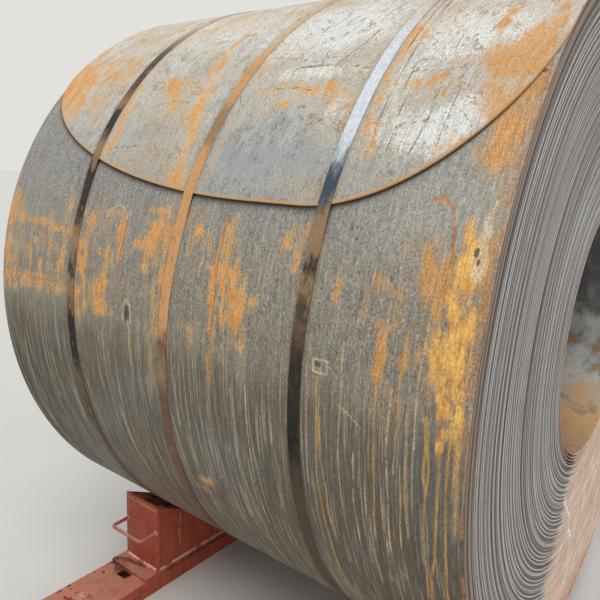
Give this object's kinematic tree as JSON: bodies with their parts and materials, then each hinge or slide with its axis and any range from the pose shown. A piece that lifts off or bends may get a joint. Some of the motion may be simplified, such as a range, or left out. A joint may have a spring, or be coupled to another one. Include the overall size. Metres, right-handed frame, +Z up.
{
  "type": "steel coil",
  "caption": "Large coil of hot-rolled steel strip with a round-cornered tail, strapped round and lying with its bore level on rails with wedge blocks.",
  "frame": {"origin": "on the floor under the middle of the coil and of its rails", "axes": "+X along the coil's bore axis; +Z up; the strip's tail hangs over the top on the -Y side"},
  "size_m": [1.551, 2.2, 2.0368],
  "materials": {
    "coil_scale": "mill scale with rust",
    "strap_steel": "blackened, rusty",
    "cradle_paint": "faded red oxide paint",
    "handle_paint": "worn red paint"
  },
  "bodies": {
    "root": {"coil": "coil_scale", "strap_left": "strap_steel", "strap_seal_left": "strap_steel", "strap_middle": "strap_steel", "strap_seal_middle": "strap_steel", "strap_right": "strap_steel", "strap_seal_right": "strap_steel", "rail_left": "cradle_paint", "rail_right": "cradle_paint", "base_plate_left_front": "cradle_paint", "front_plate_left_front": "cradle_paint", "seat_plate_left_front": "cradle_paint", "cheek_plate_left_front_outer": "cradle_paint", "cheek_plate_left_front_inner": "cradle_paint", "handle_left_front": "handle_paint", "base_plate_left_rear": "cradle_paint", "front_plate_left_rear": "cradle_paint", "seat_plate_left_rear": "cradle_paint", "cheek_plate_left_rear_outer": "cradle_paint", "cheek_plate_left_rear_inner": "cradle_paint", "handle_left_rear": "handle_paint", "base_plate_right_front": "cradle_paint", "front_plate_right_front": "cradle_paint", "seat_plate_right_front": "cradle_paint", "cheek_plate_right_front_outer": "cradle_paint", "cheek_plate_right_front_inner": "cradle_paint", "handle_right_front": "handle_paint", "base_plate_right_rear": "cradle_paint", "front_plate_right_rear": "cradle_paint", "seat_plate_right_rear": "cradle_paint", "cheek_plate_right_rear_outer": "cradle_paint", "cheek_plate_right_rear_inner": "cradle_paint", "handle_right_rear": "handle_paint"}
  },
  "joints": []
}
